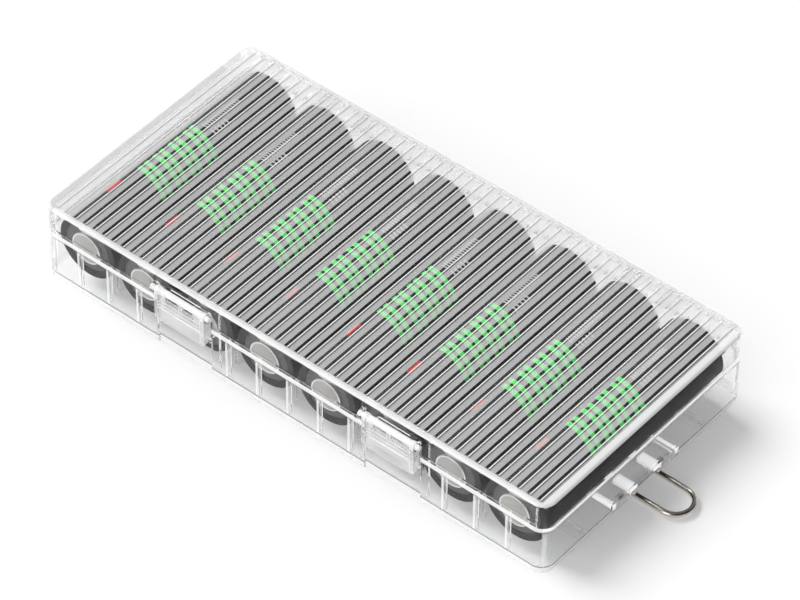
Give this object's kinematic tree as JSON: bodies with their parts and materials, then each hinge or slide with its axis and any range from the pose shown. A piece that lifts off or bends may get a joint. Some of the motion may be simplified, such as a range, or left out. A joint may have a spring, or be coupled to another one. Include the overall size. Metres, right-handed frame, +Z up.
{
  "type": "hinged battery storage case",
  "caption": "Clear hinged case for a row of round cells, with ribbed lid, two front snap latches and a sliding wire hanger at one end.",
  "frame": {"origin": "centre of the case's footprint on its flat underside, leaving out the hinges, latches and hanger", "axes": "+X along the row of cells towards the wire hanger, -Y towards the latches, +Z up"},
  "size_m": [0.1788, 0.0869, 0.0245],
  "materials": {
    "clear_base": "clear, polished",
    "clear_lid": "clear, top frosted between polished ribs",
    "clear_latch": "clear, polished",
    "hanger_wire": "bright drawn wire",
    "cell_wrap": "satin shrink wrap",
    "cell_can": "plain metal",
    "cell_insulator": "matte fibre board",
    "cell_board": "coated circuit board",
    "cell_terminal": "nickel plated, satin"
  },
  "bodies": {
    "base": {"base_tray": "clear_base", "divider_1": "clear_base", "divider_2": "clear_base", "divider_3": "clear_base", "divider_4": "clear_base", "divider_5": "clear_base", "divider_6": "clear_base", "divider_7": "clear_base"},
    "lid": {"lid": "clear_lid"},
    "left_latch": {"left_latch": "clear_latch"},
    "right_latch": {"right_latch": "clear_latch"},
    "hanger": {"wire_hanger": "hanger_wire"},
    "cell_1": {"cell_1_wrap": "cell_wrap", "cell_1_can": "cell_can", "cell_1_insulator": "cell_insulator", "cell_1_front_terminal": "cell_terminal", "cell_1_board": "cell_board", "cell_1_back_terminal": "cell_terminal"},
    "cell_2": {"cell_2_wrap": "cell_wrap", "cell_2_can": "cell_can", "cell_2_insulator": "cell_insulator", "cell_2_front_terminal": "cell_terminal", "cell_2_board": "cell_board", "cell_2_back_terminal": "cell_terminal"},
    "cell_3": {"cell_3_wrap": "cell_wrap", "cell_3_can": "cell_can", "cell_3_insulator": "cell_insulator", "cell_3_front_terminal": "cell_terminal", "cell_3_board": "cell_board", "cell_3_back_terminal": "cell_terminal"},
    "cell_4": {"cell_4_wrap": "cell_wrap", "cell_4_can": "cell_can", "cell_4_insulator": "cell_insulator", "cell_4_front_terminal": "cell_terminal", "cell_4_board": "cell_board", "cell_4_back_terminal": "cell_terminal"},
    "cell_5": {"cell_5_wrap": "cell_wrap", "cell_5_can": "cell_can", "cell_5_insulator": "cell_insulator", "cell_5_front_terminal": "cell_terminal", "cell_5_board": "cell_board", "cell_5_back_terminal": "cell_terminal"},
    "cell_6": {"cell_6_wrap": "cell_wrap", "cell_6_can": "cell_can", "cell_6_insulator": "cell_insulator", "cell_6_front_terminal": "cell_terminal", "cell_6_board": "cell_board", "cell_6_back_terminal": "cell_terminal"},
    "cell_7": {"cell_7_wrap": "cell_wrap", "cell_7_can": "cell_can", "cell_7_insulator": "cell_insulator", "cell_7_front_terminal": "cell_terminal", "cell_7_board": "cell_board", "cell_7_back_terminal": "cell_terminal"},
    "cell_8": {"cell_8_wrap": "cell_wrap", "cell_8_can": "cell_can", "cell_8_insulator": "cell_insulator", "cell_8_front_terminal": "cell_terminal", "cell_8_board": "cell_board", "cell_8_back_terminal": "cell_terminal"}
  },
  "joints": [
    {"name": "lid_hinge", "type": "hinge", "parent": "base", "child": "lid", "pos_m": [0, 0.0425, 0.01535], "axis": [-1, 0, 0], "range_deg": [0, 180]},
    {"name": "left_latch_hinge", "type": "hinge", "parent": "lid", "child": "left_latch", "pos_m": [-0.034, -0.0411, 0.0206], "axis": [-1, 0, 0], "range_deg": [0, 110]},
    {"name": "right_latch_hinge", "type": "hinge", "parent": "lid", "child": "right_latch", "pos_m": [0.034, -0.0411, 0.0206], "axis": [-1, 0, 0], "range_deg": [0, 110]},
    {"name": "hanger_slide", "type": "slide", "parent": "base", "child": "hanger", "axis": [1, 0, 0], "range_m": [-0.013, 0]},
    {"name": "cell_1_spin", "type": "hinge", "parent": "base", "child": "cell_1", "pos_m": [-0.07, 0, 0.0136], "axis": [0, 1, 0], "continuous": true},
    {"name": "cell_2_spin", "type": "hinge", "parent": "base", "child": "cell_2", "pos_m": [-0.05, 0, 0.0136], "axis": [0, 1, 0], "continuous": true},
    {"name": "cell_3_spin", "type": "hinge", "parent": "base", "child": "cell_3", "pos_m": [-0.03, 0, 0.0136], "axis": [0, 1, 0], "continuous": true},
    {"name": "cell_4_spin", "type": "hinge", "parent": "base", "child": "cell_4", "pos_m": [-0.01, 0, 0.0136], "axis": [0, 1, 0], "continuous": true},
    {"name": "cell_5_spin", "type": "hinge", "parent": "base", "child": "cell_5", "pos_m": [0.01, 0, 0.0136], "axis": [0, 1, 0], "continuous": true},
    {"name": "cell_6_spin", "type": "hinge", "parent": "base", "child": "cell_6", "pos_m": [0.03, 0, 0.0136], "axis": [0, 1, 0], "continuous": true},
    {"name": "cell_7_spin", "type": "hinge", "parent": "base", "child": "cell_7", "pos_m": [0.05, 0, 0.0136], "axis": [0, 1, 0], "continuous": true},
    {"name": "cell_8_spin", "type": "hinge", "parent": "base", "child": "cell_8", "pos_m": [0.07, 0, 0.0136], "axis": [0, 1, 0], "continuous": true}
  ]
}
